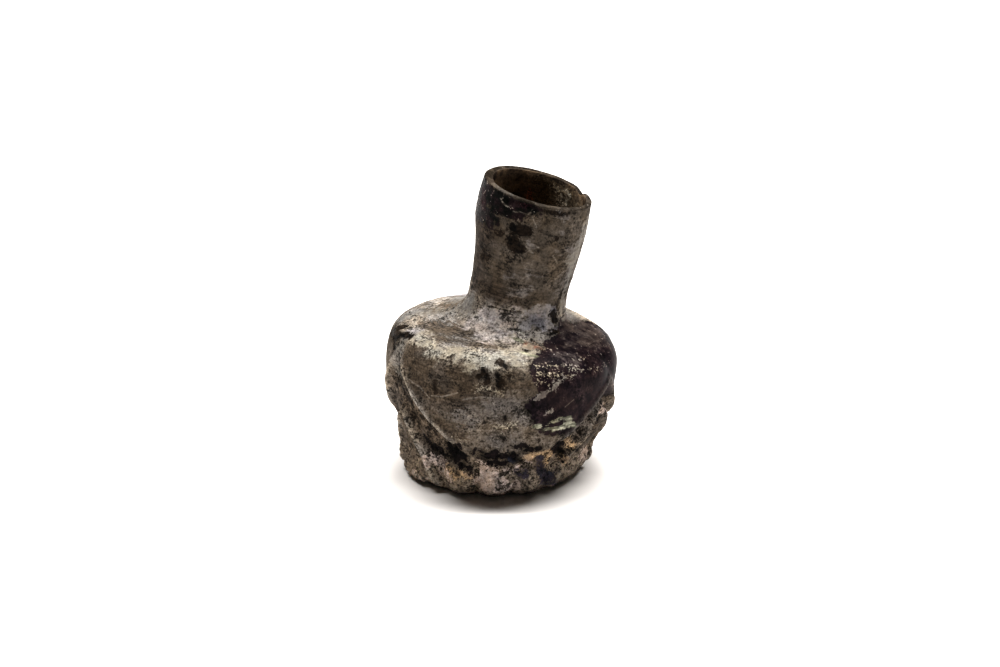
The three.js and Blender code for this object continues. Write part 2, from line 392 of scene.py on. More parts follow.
STROKES = {
    # Darkening down the left side of the neck and round its foot: painted shade
    "neck_painted_shade": [
        (-105, 50.0, -85, 66.0, 4.0), (-70, 50.0, -52, 60.0, 2.6), (-60, 50.0, -25, 48.0, 1.8),
    ],
    "grey_skin": [
        (-18, 20.0, 4, 24.0, 2.6), (-12, 16.0, 10, 14.5, 2.0), (2, 25.0, 11, 21.0, 1.8),
        (18, 15.5, 26, 13.8, 1.4), (66, 20.0, 40, 14.5, 1.0), (60, 50.0, 64, 60.0, 2.0),
    ],
    "pale_skin": [
        (-93, 32.5, -98, 36.0, 2.2), (-98, 36.0, -98, 40.0, 2.2), (-98, 40.0, -68, 44.0, 2.0),
        (-68, 42.0, -60, 44.5, 1.4), (-67, 29.5, -68, 24.5, 1.6),
        (54, 57.0, 76, 64.0, 2.0), (66, 47.0, 62, 57.0, 1.4), (150, 35.0, 185, 38.0, 2.4),
        (-150, 26.0, -165, 20.0, 2.2), (-150, 38.0, -120, 40.0, 2.2), (110, 40.0, 140, 37.0, 2.0),
    ],
    "brown_stain": [
        (-68, 36.5, -38, 38.8, 2.4), (-48, 34.9, -21, 36.8, 1.6), (-21, 36.8, -4, 37.4, 1.1),
        (-54, 27.8, -18, 28.2, 2.6), (-48, 24.5, -22, 23.6, 2.8), (-30, 27.0, -14, 25.0, 2.0),
        (-56, 30.6, -40, 30.0, 1.0), (-12, 25.0, 4, 28.0, 1.2), (6, 30.0, 12, 28.0, 1.4),
        (-114, 33.6, -112, 38.0, 0.5), (-101, 35.0, -102, 36.5, 0.4), (-114, 38.0, -97, 43.5, 0.8),
        (-103, 31.0, -109, 33.8, 0.8), (-40, 18.5, -22, 16.5, 1.8), (-49, 49.0, -22, 48.5, 1.5),
        (-22, 48.5, 10, 48.4, 0.8), (130, 28.0, 165, 25.0, 2.6), (-130, 22.0, -150, 30.0, 2.4),
        (170, 52.0, 190, 60.0, 2.4), (-120, 58.0, -150, 50.0, 2.2), (150, 38.0, 200, 39.0, 1.8),
        (-86, 13.0, -70, 6.0, 3.0), (64, 12.0, 80, 5.0, 3.0),
    ],
    "lilac_white": [
        (-36, 43.0, -2, 44.5, 1.8), (-22, 40.5, 5, 41.0, 2.4), (-46, 40.8, -22, 41.5, 1.2),
        (-72, 32.4, -64, 33.6, 0.6), (160, 42.0, 200, 42.0, 2.0),
    ],
    "neck_smear": [
        (25, 68.0, 31, 66.5, 0.9), (32, 63.3, 33, 63.2, 0.4), (28, 59.6, 36, 58.6, 0.5),
        (39, 60.5, 49, 59.7, 0.7), (-3, 60.2, 4, 59.7, 0.4), (-14, 49.4, 3, 50.0, 0.7),
        (8, 51.2, 5, 50.2, 0.5), (-20, 52.2, -13, 52.9, 0.3), (3, 53.8, 18, 53.5, 0.3),
        (140, 62.0, 150, 58.0, 0.8),
    ],
    "cream_chalk": [
        (-60, 32.8, -50, 32.8, 1.1), (-48, 32.5, -39, 31.6, 0.9), (-43, 31.3, -30, 32.2, 1.1),
        (-30, 32.4, -17, 32.6, 1.8), (-17, 32.2, -6, 32.4, 2.2), (-6, 32.8, 0, 34.6, 1.8),
        (0, 34.4, 15, 35.2, 1.5), (15, 35.2, 23, 35.8, 0.8), (5, 32.4, 13, 32.8, 0.8),
        (7, 41.5, 14, 39.8, 0.9), (-17, 30.3, -12, 30.6, 0.6), (140, 33.0, 178, 31.5, 1.2),
        (-140, 32.0, -165, 33.0, 1.0), (115, 27.0, 122, 25.0, 0.8),
    ],
    "slate_film": [
        (20, 46.0, 46, 46.0, 1.3), (20, 45.0, 34, 43.4, 1.6), (34, 43.4, 50, 41.9, 1.2),
        (10, 43.3, 20, 44.0, 0.8), (200, 36.0, 220, 33.0, 1.8),
    ],
    # Lighter brown over the upper bare glass: partly a thin film, partly a painted highlight of the
    # glass's gloss
    "brown_film_and_highlight": [
        (70, 36.0, 92, 34.0, 2.8), (60, 41.0, 78, 42.0, 1.6), (78, 40.0, 100, 38.0, 2.4),
        (45, 36.0, 54, 37.0, 0.9), (30, 34.0, 44, 33.0, 0.8),
    ],
    "crust_flecks": [
        (17, 32.0, 38, 31.3, 1.1), (18, 30.2, 36, 29.0, 1.4), (17, 28.4, 26, 27.4, 1.1),
        (36, 31.0, 46, 29.4, 1.2), (44, 30.0, 56, 28.8, 0.9), (56, 28.8, 72, 29.0, 0.7),
        (40, 32.8, 52, 31.8, 0.8), (20, 35.6, 26, 36.6, 0.8), (-11, 26.8, -1, 26.2, 1.6),
        (-2, 18.8, 6, 19.6, 1.6), (-4, 16.8, 0, 17.2, 1.2), (-34, 17.0, -20, 15.4, 1.0),
    ],
    "crust_tongue": [
        (31, 29.0, 26, 27.4, 0.45), (26, 27.4, 22, 26.2, 0.5), (21, 26.0, 16, 24.6, 0.4),
        (25, 21.5, 24, 21.8, 0.3),
    ],
    "dark_film": [
        (-88, 66.2, -58, 66.8, 3.0), (-58, 66.8, -34, 66.6, 2.6), (-34, 67.0, -6, 67.4, 1.7),
        (-78, 62.4, -52, 62.2, 2.0), (-46, 64.4, -18, 65.6, 1.5), (-52, 62.8, -40, 62.4, 1.1),
        (-100, 65.0, -88, 63.0, 1.8),
    ],
    "dark_spot": [
        (-10, 30.0, -8, 28.4, 0.75), (-12, 28.8, -9, 28.6, 0.6), (-3, 29.6, -2, 27.6, 0.8),
        (-2, 32.2, 1, 31.5, 0.7), (3, 29.4, 3, 28.6, 0.35), (-19, 31.5, -18, 31.4, 0.3),
        (-35, 25.8, -34, 24.5, 0.35), (2, 21.2, 2, 20.6, 0.55), (0, 16.6, 1, 16.0, 0.6),
        (7, 22.6, 14, 22.2, 0.4), (-65, 22.4, -57, 19.8, 0.3), (57, 50.0, 51, 47.6, 0.45),
        (-20, 62.2, -7, 62.4, 1.15), (-19, 59.6, -12, 58.8, 1.35), (-36, 60.2, -33, 60.3, 0.7),
        (-58, 54.0, -46, 55.0, 0.4), (-55, 55.2, -49, 54.6, 0.4), (24, 62.4, 26, 62.0, 0.3),
        (36, 68.0, 42, 68.0, 0.4), (10, 67.4, 30, 67.4, 0.35), (54, 14.8, 60, 15.6, 0.35),
        (-88, 29.4, -74, 30.0, 1.1), (-83, 30.8, -78, 32.4, 0.7), (-72, 31.0, -64, 32.2, 0.7),
        (-76, 29.4, -72, 28.0, 0.5), (46, 45.6, 52, 43.8, 1.0), (37, 41.0, 48, 41.6, 0.7),
        (17, 39.8, 19, 39.2, 0.35), (22, 38.6, 25, 38.0, 0.4), (11, 36.6, 14, 36.4, 0.35),
    ],
    "pink_chalk": [
        (-43, 7.8, -33, 7.2, 1.5), (-34, 6.6, -28, 6.0, 1.0), (14, 10.6, 18, 9.4, 0.7),
        (-9, 9.6, -2, 8.6, 0.8), (-8, 7.4, 2, 6.6, 1.1), (-10, 5.6, 4, 4.6, 1.5),
        (-4, 3.4, 11, 3.6, 1.3), (4, 7.6, 12, 7.6, 0.7), (74, 16.6, 62, 17.4, 0.6),
        (60, 7.0, 75, 5.5, 0.5), (-61, 3.0, -50, 2.6, 0.6), (140, 7.0, 155, 6.0, 1.0),
        (-145, 7.5, -160, 6.0, 1.0),
    ],
    "orange_tan": [
        (14, 10.4, 17, 11.6, 0.8), (17, 11.8, 24, 11.8, 0.9), (24, 11.6, 32, 9.6, 1.0),
        (18, 10.4, 24, 10.0, 0.6), (32, 9.2, 31, 7.8, 0.6), (37, 13.4, 40, 12.6, 0.9),
        (42, 11.8, 44, 11.0, 0.9), (40, 9.6, 43, 8.2, 0.6), (-29, 7.6, -24, 6.2, 0.8),
        (-22, 7.0, -16, 6.0, 0.7), (180, 7.0, 195, 6.0, 0.8),
    ],
    "blue_film": [
        (27, 6.8, 35, 5.0, 1.2), (31, 4.4, 34, 3.4, 1.0), (4, 11.4, 11, 9.6, 0.9),
        (23, 9.9, 27, 9.3, 0.5), (11, 6.8, 18, 6.6, 0.4), (35, 12.4, 36, 10.0, 0.5),
        (-110, 8.0, -116, 6.0, 0.9),
    ],
    "black_flake": [
        (-46, 12.2, -42, 10.4, 0.8), (-41, 10.4, -35, 10.0, 1.1), (-31, 12.8, -29, 11.0, 0.8),
        (-33, 9.8, -24, 10.2, 0.8), (-26, 11.4, -21, 11.0, 1.1), (-10, 12.0, -3, 13.0, 0.9),
        (-8, 11.2, 7, 12.0, 1.1), (-6, 9.9, 4, 9.4, 0.6), (8, 11.0, 13, 9.6, 0.8),
        (-16, 13.0, -15, 12.8, 0.5), (-25, 13.6, -23, 13.6, 0.5), (7, 14.6, 11, 14.4, 0.5),
        (11, 13.2, 20, 13.2, 0.7), (31, 14.0, 37, 11.6, 0.9), (33, 11.4, 41, 9.4, 0.8),
        (57, 14.8, 63, 16.0, 0.6), (53, 10.4, 55, 9.2, 0.8), (-21, 8.5, -15, 8.0, 0.6),
        (120, 10.5, 135, 9.0, 0.8), (-120, 11.0, -135, 10.0, 0.8), (165, 9.5, 178, 10.5, 0.7),
    ],
    "green_film": [
        (17, 18.6, 24, 18.4, 0.35), (22, 17.7, 36, 17.2, 0.4), (24, 18.8, 31, 19.7, 0.3),
        (31, 19.7, 37, 19.1, 0.3), (33, 18.0, 39, 17.7, 0.4), (4, 40.0, 15, 38.6, 0.5),
        (9, 35.6, 18, 34.4, 0.4),
    ],
    "orange_film": [(13, 38.8, 22, 37.4, 0.8)],
    "magenta_film": [(-76, 66.0, -64, 63.4, 0.8), (-22, 67.2, -7, 67.8, 0.5)],
    "scratch": [
        (-36, 23.3, -30, 23.6, 0.14), (-30, 23.6, -22, 25.0, 0.14), (-19, 23.9, -10, 25.0, 0.14),
        (-10, 25.0, -4, 25.0, 0.14), (-62, 25.6, -44, 24.0, 0.14), (-44, 24.0, -37, 22.6, 0.14),
        (-42, 67.0, -38, 66.3, 0.15), (-38, 66.3, -31, 66.0, 0.15), (-24, 65.5, -17, 65.9, 0.15),
        (-17, 65.9, -9, 65.8, 0.15), (-9, 65.8, -6, 66.6, 0.15), (-4, 65.8, 3, 63.6, 0.15),
        (33, 22.1, 38, 23.5, 0.06), (-61, 3.2, -54, 3.0, 0.3), (-52, 2.9, -45, 3.3, 0.3),
        # The stroke along the front-left lip at rise 68.5 is partly pale specks, partly a painted
        # highlight on the lip's edge
        (-62, 68.5, -30, 68.5, 0.14), (-5, 59.6, 4, 58.4, 0.14), (0, 60.4, 9, 59.8, 0.14),
        (26, 58.4, 34, 56.8, 0.14),
    ],
    "inner_film": [(172, 65.5, 118, 65.0, 3.0)],
    "rust_spot": [(-176, 64.8, -174, 62.0, 0.8)],
    "inner_streak": [
        (168, 67.2, 146, 67.3, 0.3), (162, 66.2, 134, 66.3, 0.35), (168, 65.0, 148, 64.9, 0.3),
        (150, 64.2, 124, 64.4, 0.35), (140, 67.6, 122, 67.2, 0.25),
    ],
}
INSIDE_FINISHES = ("inner_film", "rust_spot", "inner_streak")
STREAKED_FINISHES = (
    "shoulder_pale", "pale_skin", "brown_stain", "lilac_white", "neck_smear", "green_film")
FINE_FINISHES = ("crust_flecks",)
FLAKED_FINISHES = ("bare_glass", "dark_film", "rim_tan")
SMOOTH_FINISHES = ("pale_skin", "cream_chalk", "slate_film", "pink_chalk", "orange_tan", "scratch")

# The large flaked area on the right of the front petal, as an outline of azimuths and rises
BARE_GLASS_OUTLINE = [
    (55, 44.0), (50, 41.4), (36, 40.6), (24, 37.4), (17, 33.6), (13, 31.4), (15, 28.8), (18, 26.2),
    (14, 25.0), (10, 23.4), (13, 22.0), (15, 19.7), (18, 18.0), (24, 16.6), (33, 15.4), (40, 14.8),
    (46, 17.0), (60, 21.0), (80, 18.5), (98, 20.0), (108, 30.0), (112, 36.0), (90, 40.5), (70, 43.0),
]
# Rises between which the wide finishes lie, how far specks reach into flaked places, and the depth
# past which a finish no longer changes
BASE_CRUST_TOP = 8.6
NECK_START = 47.5
SHOULDER_START = 30.5
SHOULDER_END = 47.0
RIM_START = LIP_RISE - 0.5
SPECK_REACH = 0.6
SPECK_START = 29.0
FURTHEST = 3.0


def depth_in_outline(corners):
    """How deep the wall's places lie inside an outline, in millimetres, less than 0 outside."""
    middle = np.mean([corner[0] for corner in corners])
    unrolled = middle + turn(azimuth - middle)
    nearest = np.full_like(rise, np.inf)
    enclosed = np.zeros(len(rise), bool)
    for (a_azimuth, a_rise), (b_azimuth, b_rise) in zip(corners, corners[1:] + corners[:1]):
        edge = (a_azimuth, a_rise, b_azimuth, b_rise, 0)
        nearest = np.minimum(nearest, -depth_in_stroke(azimuth, rise, wall_radius, edge))
        crosses = (a_rise > rise) != (b_rise > rise)
        share = (rise - a_rise) / (b_rise - a_rise if b_rise != a_rise else 1)
        enclosed ^= crosses & (unrolled < a_azimuth + share * (b_azimuth - a_azimuth))
    return np.where(enclosed, nearest, -nearest)


WIDE_DEPTHS = {
    "bare_glass": depth_in_outline(BARE_GLASS_OUTLINE),
    "shoulder_pale": np.minimum(rise - SHOULDER_START, SHOULDER_END - rise),
    "base_crust": BASE_CRUST_TOP - rise,
    "neck_brown": rise - NECK_START,
    "rim_tan": rise - RIM_START,
}


def finish_depth(finish):
    depth = WIDE_DEPTHS.get(finish, np.full_like(rise, -FURTHEST))
    for stroke in STROKES.get(finish, []):
        depth = np.maximum(depth, depth_in_stroke(azimuth, rise, wall_radius, stroke))
    there = inside > 0.5 if finish in INSIDE_FINISHES else inside < 0.5
    return np.where(there, np.clip(depth, -FURTHEST, FURTHEST), -FURTHEST)


class Finish(NamedTuple):
    """A layer's two mottled colours, its roughness and how much it hides; then in millimetres how
    far noise moves its edge in large and in small steps, how soft that edge is, how far the layer
    has worn back, and how thick it is."""
    main: tuple
    second: tuple
    roughness: float
    cover: float
    ragged: float
    broken: float
    soft: float
    worn: float
    thick: float


FINISHES = {
    "neck_brown": Finish(
        (0.074, 0.059, 0.045), (0.09, 0.073, 0.057), 0.6, 0.94, 1.5, 0.5, 2.5, 0, 0),
    # Dark layer on the left of the neck: painted shade
    "neck_painted_shade": Finish((0.036, 0.026, 0.02), (0.055, 0.043, 0.035), 0.6, 0.8, 1.2, 0.8, 1.5, 0, 0),
    "shoulder_pale": Finish(
        (0.39, 0.349, 0.306), (0.215, 0.186, 0.158), 0.7, 0.88, 1.0, 1.0, 1.6, 0.6, 0),
    "grey_skin": Finish((0.165, 0.147, 0.134), (0.115, 0.1, 0.087), 0.65, 0.7, 1.2, 0.9, 1.2, 0, 0),
    "pale_skin": Finish((0.21, 0.195, 0.176), (0.138, 0.123, 0.106), 0.5, 0.9, 0.9, 0.4, 0.8, 0, 0),
    "brown_stain": Finish(
        (0.044, 0.033, 0.024), (0.08, 0.062, 0.047), 0.62, 0.9, 0.9, 0.8, 1.0, 0, 0),
    "lilac_white": Finish(
        (0.47, 0.428, 0.41), (0.285, 0.25, 0.236), 0.75, 0.85, 0.6, 0.8, 0.8, 0.2, 0),
    "neck_smear": Finish((0.2, 0.18, 0.165), (0.13, 0.112, 0.1), 0.7, 0.8, 0.5, 0.5, 0.5, 0.1, 0),
    "cream_chalk": Finish(
        (0.345, 0.324, 0.274), (0.225, 0.204, 0.165), 0.8, 0.76, 1.1, 0.8, 1.0, 0.1, 0.05),
    "slate_film": Finish((0.19, 0.18, 0.196), (0.25, 0.232, 0.228), 0.5, 0.9, 0.5, 0.3, 0.4, 0, 0),
    "bare_glass": Finish(
        (0.0115, 0.0072, 0.0095), (0.021, 0.013, 0.0145), 0.45, 1, 0.5, 0.4, 0.1, 0, -0.16),
    # Lighter brown layer on the bare glass: partly a film, partly a painted highlight
    "brown_film_and_highlight": Finish(
        (0.05, 0.037, 0.034), (0.078, 0.062, 0.056), 0.4, 0.75, 0.9, 0.7, 1.2, 0, 0),
    "crust_flecks": Finish(
        (0.36, 0.32, 0.25), (0.19, 0.165, 0.132), 0.75, 1, 0.4, 0.85, 0.15, 1.52, 0),
    "crust_tongue": Finish(
        (0.22, 0.205, 0.185), (0.12, 0.105, 0.1), 0.7, 1, 0.5, 0.6, 0.1, 0.1, 0.16),
    "dark_film": Finish(
        (0.0045, 0.005, 0.0042), (0.013, 0.0075, 0.0085), 0.35, 1, 0.7, 0.5, 0.2, 0, -0.06),
    "dark_spot": Finish(
        (0.0045, 0.0035, 0.003), (0.016, 0.011, 0.0075), 0.45, 1, 0.4, 0.45, 0.06, 0, -0.14),
    "base_crust": Finish(
        (0.33, 0.27, 0.21), (0.115, 0.094, 0.076), 0.85, 0.85, 1.6, 1.0, 1.0, 0, 0.1),
    "pink_chalk": Finish((0.6, 0.5, 0.45), (0.33, 0.262, 0.222), 0.85, 0.95, 0.9, 0.6, 0.2, 0, 0.1),
    "orange_tan": Finish(
        (0.46, 0.335, 0.21), (0.25, 0.188, 0.135), 0.8, 0.95, 0.7, 0.5, 0.25, 0, 0.1),
    "blue_film": Finish((0.011, 0.016, 0.03), (0.032, 0.026, 0.036), 0.4, 0.95, 0.6, 0.5, 0.2, 0, 0),
    "black_flake": Finish(
        (0.002, 0.0016, 0.0016), (0.007, 0.005, 0.005), 0.4, 1, 0.7, 0.5, 0.06, 0, -0.3),
    "green_film": Finish((0.41, 0.395, 0.3), (0.11, 0.11, 0.08), 0.4, 0.95, 0.25, 0.3, 0.15, 0, 0),
    "orange_film": Finish(
        (0.15, 0.06, 0.036), (0.24, 0.195, 0.155), 0.4, 0.85, 0.6, 0.6, 0.25, 0, 0),
    "magenta_film": Finish(
        (0.042, 0.014, 0.021), (0.022, 0.013, 0.014), 0.45, 0.8, 0.4, 0.3, 0.4, 0, 0),
    "rim_tan": Finish((0.024, 0.018, 0.013), (0.052, 0.041, 0.031), 0.5, 0.9, 0.2, 0.4, 0.25, 0, 0),
    "glass_specks": Finish(
        (0.5, 0.45, 0.4), (0.28, 0.24, 0.21), 0.7, 0.9, 0.1, 0.9, 0.2, 1.82, 0.05),
    "scratch": Finish((0.3, 0.265, 0.23), (0.22, 0.19, 0.16), 0.6, 0.7, 0.0, 0.0, 0.14, 0, 0),
    "inner_film": Finish(
        (0.24, 0.178, 0.112), (0.095, 0.068, 0.044), 0.5, 0.85, 0.8, 0.6, 0.8, 0, 0),
    "rust_spot": Finish((0.4, 0.12, 0.065), (0.18, 0.07, 0.04), 0.6, 0.9, 0.4, 0.4, 0.5, 0, 0),
    "inner_streak": Finish((0.8, 0.74, 0.6), (0.4, 0.33, 0.24), 0.5, 0.95, 0.25, 0.35, 0.2, 0, 0),
}
depths = {finish: finish_depth(finish) for finish in FINISHES}
flaked = np.max([depths[name] for name in FLAKED_FINISHES], axis=0)
depths["glass_specks"] = np.minimum(flaked, np.minimum(SPECK_REACH, rise - SPECK_START))
for finish, depth in depths.items():
    keep_attribute(finish, depth)

GRAIN_NOISE = {"Scale": 2.4, "Detail": 3.0, "Roughness": 0.75}
SPECK_NOISE = {"Scale": 1.2, "Detail": 5.0, "Roughness": 0.72}
EDGE_NOISE = {"Scale": 0.45, "Detail": 6.0, "Roughness": 0.64}
MOTTLE_NOISE = {"Scale": 0.2, "Detail": 5.0, "Roughness": 0.62}
NOISE_MIDDLE = 0.5
NOISE_SPREAD = 0.11


def add_node(tree, kind, inputs=None, **settings):
    """A node with its settings, and its inputs given by name or number as values or sockets."""
    made = tree.nodes.new(kind)
    for name, value in settings.items():
        setattr(made, name, value)
    for key, value in (inputs or {}).items():
        if isinstance(value, bpy.types.NodeSocket):
            tree.links.new(value, made.inputs[key])
        else:
            made.inputs[key].default_value = value
    return made


def compute(tree, operation, *values):
    return add_node(tree, "ShaderNodeMath", dict(enumerate(values)), operation=operation).outputs[0]


def ramp_between(tree, value, low, high, to_low=0.0, to_high=1.0):
    limits = {"Value": value, "From Min": low, "From Max": high, "To Min": to_low, "To Max": to_high}
    return add_node(tree, "ShaderNodeMapRange", limits, interpolation_type="SMOOTHSTEP").outputs[0]


def noise(tree, vector, values):
    return add_node(tree, "ShaderNodeTexNoise", {"Vector": vector, **values}).outputs["Fac"]


def push(tree, value, noise_value, gain):
    """A value moved up and down by noise, by a gain for each step of 1 in the noise."""
    moved = compute(tree, "MULTIPLY_ADD", noise_value, gain, value)
    return compute(tree, "SUBTRACT", moved, NOISE_MIDDLE * gain)


def finish_mask(tree, name, depth, edge_noise, speck_noise):
    """0 to 1 where a finish covers the wall, with an edge broken up by noise."""
    finish = FINISHES[name]
    depth = push(tree, depth, edge_noise, finish.ragged / NOISE_SPREAD)
    depth = push(tree, depth, speck_noise, finish.broken / NOISE_SPREAD)
    start = finish.worn - finish.soft
    full = finish.worn + finish.soft
    return ramp_between(tree, depth, start, full, 0.0, finish.cover)


PIT_SCATTER = (0.35, 0.6)
PIT_SLOPE = (0.5, 0.1)


def pit_mask(tree, vector, size):
    """1 in the middle of scattered pits of a given spacing, 0 between them."""
    cells = add_node(tree, "ShaderNodeTexVoronoi", {
        "Vector": vector, "Scale": compute(tree, "DIVIDE", 1.0, size)})
    there = ramp_between(tree, cells.outputs["Color"], *PIT_SCATTER)
    deep = ramp_between(tree, cells.outputs["Distance"], *PIT_SLOPE)
    return compute(tree, "MULTIPLY", there, deep)


# Relief of the crust, worked into the mesh: its thickness at flaked edges, its grain, the pits in
# the base and slow unevenness of the blown wall
PIT_SIZE = 1.0
LUMP_SIZE = 2.4
LUMP_RISES = (2.0, 5.0)
UNEVEN_DETAIL = 1.0
GRAIN_DETAIL = 4.0
LUMP_DETAIL = 2.0
HOLLOW_ROUGH_SHARE = 0.6
ROUGH_GRAIN_GAIN = 3.0
RELIEF_SIZES = {
    "Uneven Height": 0.3,
    "Uneven Size": 6.0,
    "Grain Height": 0.16,
    "Grain Size": 0.9,
    "Lump Height": 1.1,
    "Lump Size": LUMP_SIZE,
    "Pit Depth": 0.4,
    "Pit Size": PIT_SIZE,
}
skin_tree = bpy.data.node_groups.new("weathered_skin", "GeometryNodeTree")
skin_tree.interface.new_socket("Geometry", in_out="OUTPUT", socket_type="NodeSocketGeometry")
skin_tree.interface.new_socket("Geometry", in_out="INPUT", socket_type="NodeSocketGeometry")
size_sockets = {
    name: skin_tree.interface.new_socket(name, in_out="INPUT", socket_type="NodeSocketFloat")
    for name in RELIEF_SIZES
}
material_socket = skin_tree.interface.new_socket("Finish", in_out="INPUT",
                                                 socket_type="NodeSocketMaterial")
given = skin_tree.nodes.new("NodeGroupInput").outputs


def skin_attribute(name):
    return add_node(skin_tree, "GeometryNodeInputNamedAttribute", {"Name": name}).outputs[0]


position = skin_tree.nodes.new("GeometryNodeInputPosition").outputs[0]
in_millimetres = add_node(skin_tree, "ShaderNodeVectorMath", {0: position, "Scale": 1 / MILLIMETRE},
                          operation="SCALE").outputs[0]
skin_edge = noise(skin_tree, in_millimetres, EDGE_NOISE)
skin_speck = noise(skin_tree, in_millimetres, SPECK_NOISE)


def centred_noise(size, height, detail):
    """Noise that stands as much above as below the wall, for a grain size and a height."""
    frequency = compute(skin_tree, "DIVIDE", 1.0, size)
    value = noise(skin_tree, in_millimetres, {"Scale": frequency, "Detail": detail})
    centred = compute(skin_tree, "SUBTRACT", value, NOISE_MIDDLE)
    return compute(skin_tree, "MULTIPLY", centred, height)


def skin_mask(name):
    return finish_mask(skin_tree, name, skin_attribute(name), skin_edge, skin_speck)


uneven = centred_noise(given["Uneven Size"], given["Uneven Height"], UNEVEN_DETAIL)
base_mask = skin_mask("base_crust")
hollow_pits = compute(skin_tree, "MULTIPLY", skin_attribute("recess"), HOLLOW_ROUGH_SHARE)
rough_share = compute(skin_tree, "MAXIMUM", base_mask, hollow_pits)
grain = centred_noise(given["Grain Size"], given["Grain Height"], GRAIN_DETAIL)
grain_gain = compute(skin_tree, "MULTIPLY_ADD", rough_share, ROUGH_GRAIN_GAIN, 1.0)
grain = compute(skin_tree, "MULTIPLY", grain, grain_gain)
lumps = centred_noise(given["Lump Size"], given["Lump Height"], LUMP_DETAIL)
lump_share = ramp_between(skin_tree, skin_attribute("rise"), *LUMP_RISES)
lump_share = compute(skin_tree, "MULTIPLY", lump_share, rough_share)
grain = compute(skin_tree, "MULTIPLY_ADD", lumps, lump_share, grain)
pits = pit_mask(skin_tree, in_millimetres, given["Pit Size"])
pits = compute(skin_tree, "MULTIPLY", pits, rough_share)
sunk = compute(skin_tree, "MULTIPLY", pits, given["Pit Depth"])
grain = compute(skin_tree, "SUBTRACT", grain, sunk)
crusted = compute(skin_tree, "SUBTRACT", 1.0, skin_mask("bare_glass"))
stand = compute(skin_tree, "MULTIPLY_ADD", grain, crusted, uneven)
for name, finish in FINISHES.items():
    if finish.thick:
        stand = compute(skin_tree, "MULTIPLY_ADD", skin_mask(name), finish.thick, stand)
stand = compute(skin_tree, "MULTIPLY", stand, skin_attribute("outside"))
stand = compute(skin_tree, "MULTIPLY", stand, MILLIMETRE)
normal = skin_tree.nodes.new("GeometryNodeInputNormal").outputs[0]
offset = add_node(skin_tree, "ShaderNodeVectorMath", {0: normal, "Scale": stand}, operation="SCALE")
moved = add_node(skin_tree, "GeometryNodeSetPosition", {
    "Geometry": given["Geometry"], "Offset": offset.outputs[0]})
smoothed = add_node(skin_tree, "GeometryNodeSetShadeSmooth", {0: moved.outputs[0]})
realized = add_node(skin_tree, "GeometryNodeRealizeInstances", {0: smoothed.outputs[0]})
finished = add_node(skin_tree, "GeometryNodeSetMaterial", {
    "Geometry": realized.outputs[0], "Material": given["Finish"]})
add_node(skin_tree, "NodeGroupOutput", {0: finished.outputs[0]})

# Colours of the plain crust, of dirt with painted shade in the relief's hollows and wear with a
# painted highlight on its crests, and of the wall inside the neck
CRUST_DARK = (0.066, 0.052, 0.04, 1)
CRUST_MIDDLE = (0.112, 0.092, 0.073, 1)
CRUST_PALE = (0.168, 0.142, 0.117, 1)
HOLLOW_DIRT_AND_SHADE = (0.078, 0.06, 0.046, 1)
HOLLOW_DIRT_AND_SHADE_SHARE = 0.6
CREST_WEAR_AND_HIGHLIGHT = (0.34, 0.302, 0.26, 1)
CREST_WEAR_AND_HIGHLIGHT_SHARE = 0.9
CREST_WEAR_AND_HIGHLIGHT_POWER = 1.5
CREST_WEAR_AND_HIGHLIGHT_BREAKS = (0.25, 0.45)
CREST_WEAR_AND_HIGHLIGHT_RIGHT = (6.0, 14.0, 1.0, 0.3)
INSIDE_DARK = (0.03, 0.02, 0.0135, 1)
INSIDE_BROWN = (0.28, 0.19, 0.115, 1)
CRUST_ROUGHNESS = 0.7
INSIDE_ROUGHNESS = 0.5
INSIDE_LEVELS = (0.4, 0.65)
PALE_LEVELS = (0.48, 0.68)
DARK_LEVELS = (0.5, 0.34)
BLOTCH_LEVELS = (0.42, 0.58)
BUMP_HEIGHT = 0.14
BUMP_STRENGTH = 0.7
GLASS_IOR = 1.5
GLASS_SPECULAR = 0.025

glass = bpy.data.materials.new("weathered_glass")
glass.use_nodes = True
glass_tree = glass.node_tree
shader = glass_tree.nodes["Principled BSDF"]
object_place = glass_tree.nodes.new("ShaderNodeTexCoord").outputs["Object"]
glass_place = add_node(glass_tree, "ShaderNodeMapping", {
    "Vector": object_place, "Scale": (1 / MILLIMETRE,) * 3}).outputs[0]


def glass_attribute(name):
    return add_node(glass_tree, "ShaderNodeAttribute", attribute_name=name).outputs["Fac"]


def mix_colour(share, first, second, blend="MIX"):
    return add_node(glass_tree, "ShaderNodeMix", {0: share, 6: first, 7: second},
                    data_type="RGBA", blend_type=blend).outputs[2]


def mix_value(share, first, second):
    return add_node(glass_tree, "ShaderNodeMix", {0: share, 2: first, 3: second}).outputs[0]


edge = noise(glass_tree, glass_place, EDGE_NOISE)
speck = noise(glass_tree, glass_place, SPECK_NOISE)
grain = noise(glass_tree, glass_place, GRAIN_NOISE)
mottle = noise(glass_tree, glass_place, MOTTLE_NOISE)
hollow = glass_attribute("recess")
split = add_node(glass_tree, "ShaderNodeSeparateXYZ", {0: glass_place}).outputs
STREAK_LENGTH = 5.0
STREAK_WIDTH = 0.6
STREAK_NOISE = {"Scale": 1.0, "Detail": 4.0, "Roughness": 0.6, "Distortion": 0.6}
streak_place = add_node(glass_tree, "ShaderNodeCombineXYZ", {
    0: compute(glass_tree, "DIVIDE", split[0], STREAK_LENGTH),
    1: compute(glass_tree, "DIVIDE", split[1], STREAK_LENGTH),
    2: compute(glass_tree, "DIVIDE", glass_attribute("rise"), STREAK_WIDTH)}).outputs[0]
streak = noise(glass_tree, streak_place, STREAK_NOISE)

